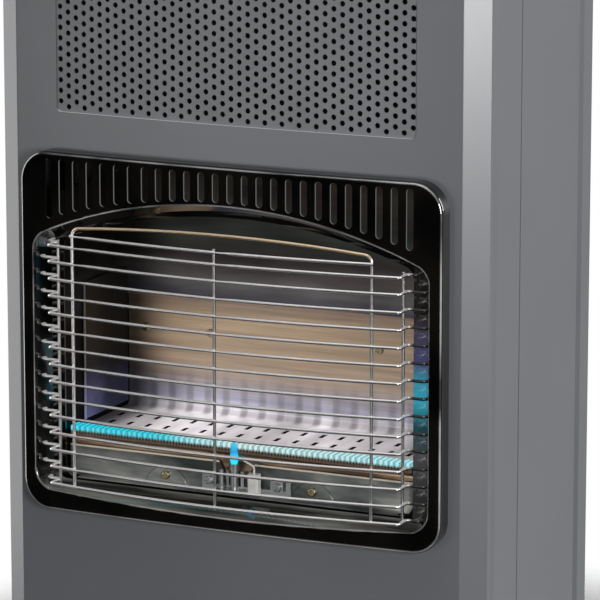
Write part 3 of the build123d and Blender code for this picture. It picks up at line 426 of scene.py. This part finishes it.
# Reflector: a folded sheet of polished stainless steel behind the burner. It is brushed across,
# heat-tinted tan above and lavender-grey lower down. A painted glow of the flame's light lies over
# it, lavender to white near the flame and dimmer at both ends, and a painted reflection of the
# foot's slots lies on the upright part as soft streaks.
SLOT_PITCH = 0.0158
reflector_low, reflector_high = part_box("reflector")
stainless = Finish("brushed_stainless", (0.55, 0.48, 0.40), 0.30, 0.55)
height = stainless.along("Z", (reflector_low.z, reflector_high.z))
brushing = stainless.remap(stainless.grain(26.0, 6.0, (0.35, 1.0, 9.0)), (0.25, 0.75), (0.72, 1.24))
heated = stainless.ramp(height, (0.00, (0.30, 0.28, 0.28)), (0.08, (0.30, 0.28, 0.29)),
                        (0.18, (0.22, 0.21, 0.23)), (0.30, (0.19, 0.165, 0.155)),
                        (0.42, (0.19, 0.145, 0.11)), (1.00, (0.17, 0.13, 0.09)))
stainless.colour(stainless.tint(heated, brushing))
# A painted glow of the flame's light: pale at the foot, then lavender and tan, darker at the top.
painted_flame_glow = stainless.ramp(height, (0.00, (0.62, 0.58, 0.59)), (0.05, (0.50, 0.47, 0.50)),
                            (0.14, (0.23, 0.22, 0.30)), (0.24, (0.20, 0.17, 0.19)),
                            (0.36, (0.24, 0.175, 0.135)), (0.50, (0.265, 0.188, 0.128)),
                            (0.86, (0.25, 0.178, 0.118)), (1.00, (0.12, 0.085, 0.07)))
# Painted shade: the glow is dimmer towards both ends.
painted_shade_at_ends = stainless.product(
    stainless.along("X", (reflector_low.x + 0.004, reflector_low.x + 0.044), (0.04, 1.0), True),
    stainless.along("X", (0.03, reflector_high.x), (1.0, 0.55), True))


def part_way(finish, share, first, second):
    """From one value, a number or a pattern, to another as the share goes from 0 to 1."""
    mixed = finish.nodes.new("ShaderNodeMix")
    finish.links.new(share, mixed.inputs["Factor"])
    for value, socket in ((first, mixed.inputs["A"]), (second, mixed.inputs["B"])):
        if isinstance(value, float):
            socket.default_value = value
        else:
            finish.links.new(value, socket)
    return mixed.outputs["Result"]


# A painted reflection of the foot's slots: soft streaks across the upright part.
slot_waves = 0.16 * math.tau / SLOT_PITCH
waves = stainless.work_out("SINE", stainless.along("X", (-0.16, 0.16), (-slot_waves, slot_waves)))
painted_slot_reflection = stainless.remap(waves, (-0.2, 0.95), (1.0, 0.50), True)
upright_part = stainless.along("Y", (reflector_high.y - 0.012, reflector_high.y - 0.004))
slots_seen = part_way(stainless, upright_part, 1.0, painted_slot_reflection)
foot_streaks = stainless.remap(stainless.grain(32.0, 3.0, (1.0, 0.12, 0.12)), (0.35, 0.65), (0.62, 1.30))
above_foot = stainless.remap(height, (0.16, 0.42), (0.0, 1.0), True)
streaks = part_way(stainless, above_foot, stainless.product(foot_streaks, slots_seen), 1.0)
stainless.glow(stainless.tint(painted_flame_glow, stainless.product(brushing, painted_shade_at_ends, streaks)))
stainless.relief(stainless.grain(60.0, 3.0, (0.4, 12.0, 12.0)), 0.25, 0.0006)
dress(stainless, "reflector")

# Firebox and outlet duct: thin folded steel, blackened by heat. It is blue-grey just above the
# reflector and brown with scale near the top. A painted glow of the flame's light lies on the back
# wall, dimmer towards the front and the left and gone near the top.
firebox_low, firebox_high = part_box("firebox_shell")
liner = Finish("heat_blackened_steel", (0.02, 0.019, 0.018), 0.65)
scale_marks = liner.remap(liner.grain(40.0, 5.0, (0.3, 1.0, 1.6)), (0.25, 0.75), (0.45, 1.55))
up_the_back = liner.along("Z", (reflector_high.z - 0.01, 0.43))
oxide = liner.ramp(up_the_back, (0.00, (0.012, 0.010, 0.009)), (0.08, (0.040, 0.044, 0.056)),
                   (0.30, (0.036, 0.032, 0.030)), (0.45, (0.012, 0.011, 0.010)), (0.90, (0.024, 0.019, 0.015)))
liner.colour(liner.tint(oxide, scale_marks))
# A painted glow of the flame's light, fading out near the top and dimmer towards the front and the left.
painted_back_wall_glow = liner.ramp(up_the_back, (0.00, (0.002, 0.002, 0.002)), (0.06, (0.030, 0.032, 0.046)),
                     (0.18, (0.080, 0.073, 0.074)), (0.30, (0.050, 0.043, 0.041)),
                     (0.42, (0.016, 0.013, 0.012)), (0.60, (0.020, 0.023, 0.020)), (0.84, (0.014, 0.012, 0.010)))
back_wall = liner.product(
    liner.along("Z", (0.455, 0.475), (1, 0)),
    liner.along("Y", (firebox_high.y - 0.020, firebox_high.y - 0.002), (0.12, 1.0)),
    liner.along("X", (firebox_low.x + 0.018, firebox_low.x + 0.07), (0.08, 1.0), True))
liner.glow(liner.tint(painted_back_wall_glow, liner.product(scale_marks, back_wall)))
liner.fix("Specular IOR Level", 0.15)
dress(liner, "firebox_shell", "outlet_duct")

# Side sheet: a thin heat shield hung inside the firebox's left wall, its front edge rolled into a
# hem. A painted glow of the flame's light lies on its face, blue near the flame and dark bronze
# halfway up, dimmer towards the back, and the hem is coloured pale.
sheet_bottom, sheet_top = 0.2455, 0.3535
side_front, side_back = firebox_low.y + 0.028, reflector_high.y - 0.002
wall_x, sheet_gauge, hem = -0.1449, 0.0004, 0.0009
shield_steel = Finish("painted_glow_side_sheet", (0.03, 0.025, 0.02), 0.6)
shield_steel.fix("Specular IOR Level", 0.1)
# A painted glow: blue near the flame, dark bronze above, dimmer towards the back of the firebox.
painted_glow_tints = shield_steel.ramp(shield_steel.along("Z", (0.245, 0.354)),
                           (0.00, (0.075, 0.08, 0.17)), (0.20, (0.055, 0.05, 0.11)),
                           (0.36, (0.010, 0.008, 0.008)), (0.60, (0.012, 0.008, 0.005)),
                           (0.90, (0.009, 0.006, 0.004)), (1.00, (0.004, 0.003, 0.003)))
into_firebox = shield_steel.along("Y", (side_front + 0.002, side_front + 0.045), (1.0, 0.18), True)
mottling = shield_steel.remap(shield_steel.grain(60.0, 4.0), (0.3, 0.7), (0.7, 1.3))
shield_steel.glow(shield_steel.tint(painted_glow_tints, shield_steel.product(into_firebox, mottling)))
on_hem = shield_steel.along("Y", (side_front - 0.0002, side_front + 0.0004), (0.55, 0.02))
shield_steel.colour(shield_steel.ramp(on_hem, (0.0, (0.010, 0.009, 0.008)), (1.0, (0.9, 0.85, 0.8))))

outer_x = wall_x - sheet_gauge
outline = [(outer_x, side_back), (outer_x, side_front)]
outline += [(outer_x + hem - hem * math.cos(turn * math.pi / 8),
             side_front - hem * math.sin(turn * math.pi / 8)) for turn in range(1, 9)]
outline += [(outer_x + 2 * hem, side_front + 0.0008), (wall_x, side_front + 0.0012), (wall_x, side_back)]
sheet = bmesh.new()
foot = sheet.faces.new([sheet.verts.new((x, y, sheet_bottom)) for x, y in outline])
drawn_up = bmesh.ops.extrude_face_region(sheet, geom=[foot])["geom"]
bmesh.ops.translate(sheet, verts=[part for part in drawn_up if isinstance(part, bmesh.types.BMVert)],
                    vec=(0, 0, sheet_top - sheet_bottom))
side_sheet = add_piece("firebox_side_sheet", sheet, shield_steel, smooth=False)
black_flag(right, side_sheet)

# Burner: a pressed stainless box, tinted copper by its heat, with a row of teeth and ports along
# its top. The flame burns low on the ports, deep cyan at the left and paler to the right.
TEETH = 64
burner_steel = Finish("heat_tinted_burner", (0.35, 0.24, 0.16), 0.32, 0.9)
heat_marks = burner_steel.grain(40.0, 5.0, (0.3, 1.0, 2.0))
burner_steel.colour(burner_steel.ramp(heat_marks, (0.35, (0.16, 0.10, 0.07)), (0.5, (0.40, 0.27, 0.17)),
                                      (0.7, (0.70, 0.58, 0.44))))
burner_steel.relief(burner_steel.grain(120.0, 3.0), 0.2, 0.0003)
dress(burner_steel, "burner_tube")

strip_low, strip_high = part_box("burner_port_strip")
strip_depth = strip_high.z - strip_low.z
lit_ports = Finish("lit_burner_ports", (0.20, 0.14, 0.10), 0.35, 0.8)
across = lit_ports.along("X", (strip_low.x, strip_high.x))
flame = lit_ports.ramp(across, (0.0, (0.01, 0.62, 0.80)), (0.28, (0.02, 0.60, 0.74)), (0.36, (0.30, 0.72, 0.78)),
                       (0.50, (0.52, 0.76, 0.78)), (0.75, (0.42, 0.72, 0.76)), (1.0, (0.30, 0.74, 0.82)))
up_the_teeth = lit_ports.along("Z", (strip_low.z + 0.35 * strip_depth, strip_high.z - 0.3 * strip_depth),
                               (0.0, 1.0), True)
tooth_by_tooth = lit_ports.work_out("SINE", lit_ports.remap(across, (0, 1), (0, TEETH * math.tau)))
teeth = lit_ports.remap(tooth_by_tooth, (-0.6, 0.5), (0.50, 1.05), True)
lit_ports.glow(lit_ports.tint(flame, lit_ports.product(up_the_teeth, teeth)))
dress(lit_ports, "burner_port_strip")

glow_lamp = bpy.data.lights.new("flame_light", "AREA")
glow_lamp.shape = "RECTANGLE"
glow_lamp.size, glow_lamp.size_y = strip_high.x - strip_low.x, 0.008
glow_lamp.energy = 0.008
glow_lamp.color = (0.86, 0.86, 1.0)
flame_light = bpy.data.objects.new("flame_light", glow_lamp)
scene.collection.objects.link(flame_light)
flame_light.location = (0, strip_high.y - 0.002, strip_high.z + 0.002)
flame_light.rotation_euler = Vector((0, 0.8, 0.6)).to_track_quat("-Z", "Y").to_euler()
flame_light.visible_camera = False

# Fascia: galvanised sheet with half-round embossings round its screws. Painted shade darkens it
# towards its upper edge and its left end, and a painted highlight runs as a warm bright line along
# its upper edge.
tray_low, tray_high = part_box("lower_tray")
galvanised = Finish("galvanised_fascia", (0.40, 0.41, 0.40), 0.34, 0.6)
spangle = galvanised.ramp(galvanised.grain(24.0, 6.0, (0.5, 1.0, 1.8)), (0.36, (0.07, 0.085, 0.08)),
                          (0.52, (0.26, 0.28, 0.265)), (0.66, (0.66, 0.66, 0.61)))
# Painted shade: darker towards the upper edge and the left end.
painted_shade = galvanised.product(galvanised.along("Z", (tray_low.z, tray_high.z), (1.05, 0.75)),
                           galvanised.along("X", (tray_low.x, 0.06), (0.65, 1.02)))
plate = galvanised.nodes.new("ShaderNodeMix")
plate.data_type = "RGBA"
plate_face, plate_edge, plate_colour = plate.inputs[6], plate.inputs[7], plate.outputs[2]
# A painted highlight: a warm bright line along the upper edge.
painted_edge_highlight = galvanised.along("Z", (tray_high.z - 0.0016, tray_high.z - 0.0010))
galvanised.links.new(painted_edge_highlight, plate.inputs["Factor"])
galvanised.links.new(galvanised.tint(spangle, painted_shade), plate_face)
plate_edge.default_value = (0.95, 0.86, 0.70, 1)
galvanised.colour(plate_colour)
galvanised.relief(galvanised.grain(260.0, 3.0), 0.15, 0.0003)
dress(galvanised, "lower_tray")

# Plated fittings: steel pressings, castor forks and screws in dull zinc, and the screws of the
# reflector and the fascia in yellow passivated zinc.
zinc = Finish("zinc_coated_steel", (0.45, 0.46, 0.46), 0.35, 0.9)
zinc.colour(zinc.ramp(zinc.grain(55.0, 5.0), (0.3, (0.36, 0.37, 0.37)), (0.7, (0.52, 0.53, 0.53))))
castors = [f"{end}_{side}" for end in ("front", "rear") for side in ("left", "right")]
dress(zinc, "pilot_bracket", "pilot_screws", "pilot_burner", "thermocouple", "base_plate", "divider_panel",
      "rear_top_rail", "burner_brackets", "castor_plates", "rear_screws", "castor_bolts",
      *["castor_fork_" + castor for castor in castors], *["castor_axle_" + castor for castor in castors])

passivated = Finish("yellow_passivated_screws", (0.55, 0.47, 0.28), 0.32, 1.0)
passivated.colour(passivated.ramp(passivated.grain(400.0, 2.0),
                                  (0.3, (0.36, 0.31, 0.18)), (0.7, (0.62, 0.54, 0.34))))
dress(passivated, "reflector_screws", "tray_screws")

# Pilot flame: a small steady cone of burning gas over the hood of the pilot. It is turned about
# its own middle, brightest at its root and paler halfway up.
pilot_low, pilot_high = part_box("pilot_burner")
pilot_x, pilot_y = (pilot_low.x + pilot_high.x) / 2, (pilot_low.y + pilot_high.y) / 2
pilot_gas = Finish("pilot_flame", (0.02, 0.20, 0.30), 0.8)
pilot_gas.glow(pilot_gas.ramp(pilot_gas.along("Z", (pilot_high.z, pilot_high.z + 0.017)),
                              (0.0, (0.01, 0.75, 0.95)), (0.35, (0.02, 0.50, 0.95)),
                              (0.55, (0.01, 0.22, 0.50)), (1.0, (0.02, 0.55, 0.80))))
half_outline = [(0.0, -0.001), (0.0022, -0.0006), (0.0030, 0.002), (0.0031, 0.006),
                (0.0027, 0.011), (0.0016, 0.0155), (0.0, 0.0175)]
flame_shape = bmesh.new()
points = [flame_shape.verts.new((pilot_x + out, pilot_y, pilot_high.z + up)) for out, up in half_outline]
rims = [flame_shape.edges.new(pair) for pair in zip(points, points[1:])]
bmesh.ops.spin(flame_shape, geom=points + rims, cent=(pilot_x, pilot_y, 0), axis=(0, 0, 1), angle=math.tau,
               steps=24, use_merge=True)
bmesh.ops.remove_doubles(flame_shape, verts=flame_shape.verts, dist=1e-5)
add_piece("pilot_flame", flame_shape, pilot_gas)

# Spark electrode: a glazed white ceramic rod with its wire tip, pushed through the pilot bracket.
# The glaze is faintly mottled.
ceramic = Finish("glazed_ceramic", (0.80, 0.79, 0.76), 0.18)
ceramic.colour(ceramic.ramp(ceramic.grain(500.0, 3.0), (0.3, (0.70, 0.69, 0.66)), (0.7, (0.84, 0.83, 0.80))))
dress(ceramic, "spark_electrode")

# Gas train: turned brass plug, stem and fittings, drawn and bent copper pipes, and a die-cast
# valve body. The brass and copper are lightly tarnished, and the casting is grainy.
brass = Finish("machined_brass", (0.60, 0.45, 0.20), 0.28, 1.0)
brass.colour(brass.ramp(brass.grain(120.0, 4.0), (0.3, (0.50, 0.36, 0.15)), (0.7, (0.66, 0.50, 0.24))))
dress(brass, "injector_elbow", "gas_inlet_nozzle", "valve_plug", "knob_stem")
copper = Finish("drawn_copper", (0.60, 0.30, 0.18), 0.30, 1.0)
copper.colour(copper.ramp(copper.grain(60.0, 4.0), (0.3, (0.42, 0.20, 0.12)), (0.7, (0.68, 0.36, 0.22))))
dress(copper, "burner_pipe", "pilot_pipe")
casting = Finish("die_cast_valve", (0.42, 0.42, 0.43), 0.5, 0.8)
casting.colour(casting.ramp(casting.grain(80.0, 4.0), (0.3, (0.34, 0.34, 0.35)), (0.7, (0.48, 0.48, 0.49))))
casting.relief(casting.grain(500.0, 3.0), 0.4, 0.0003)
dress(casting, "gas_valve")

# Controls: black moulded plate, knob and spark generator with a fine mould texture, snapped into
# the top panel, and a glossy red button.
moulding = Finish("black_moulding", (0.022, 0.022, 0.024), 0.45)
moulding.colour(moulding.ramp(moulding.grain(40.0, 4.0),
                              (0.3, (0.018, 0.018, 0.020)), (0.7, (0.027, 0.027, 0.029))))
moulding.relief(moulding.grain(1500.0, 2.0), 0.25, 0.0002)
dress(moulding, "control_knob", "control_bezel", "igniter_body")
button = Finish("red_button", (0.42, 0.02, 0.015), 0.2)
button.colour(button.ramp(button.grain(90.0, 2.0), (0.3, (0.38, 0.018, 0.012)), (0.7, (0.46, 0.024, 0.018))))
dress(button, "igniter_button")

# Castor wheels: moulded black nylon on steel axles, faintly mottled and finely textured.
# The plates, forks and axles are with the plated fittings above.
nylon = Finish("wheel_nylon", (0.02, 0.02, 0.021), 0.55)
nylon.colour(nylon.ramp(nylon.grain(60.0, 4.0), (0.35, (0.014, 0.014, 0.015)), (0.7, (0.034, 0.033, 0.031))))
nylon.relief(nylon.grain(900.0, 3.0), 0.3, 0.0002)
dress(nylon, *["castor_wheel_" + castor for castor in castors])
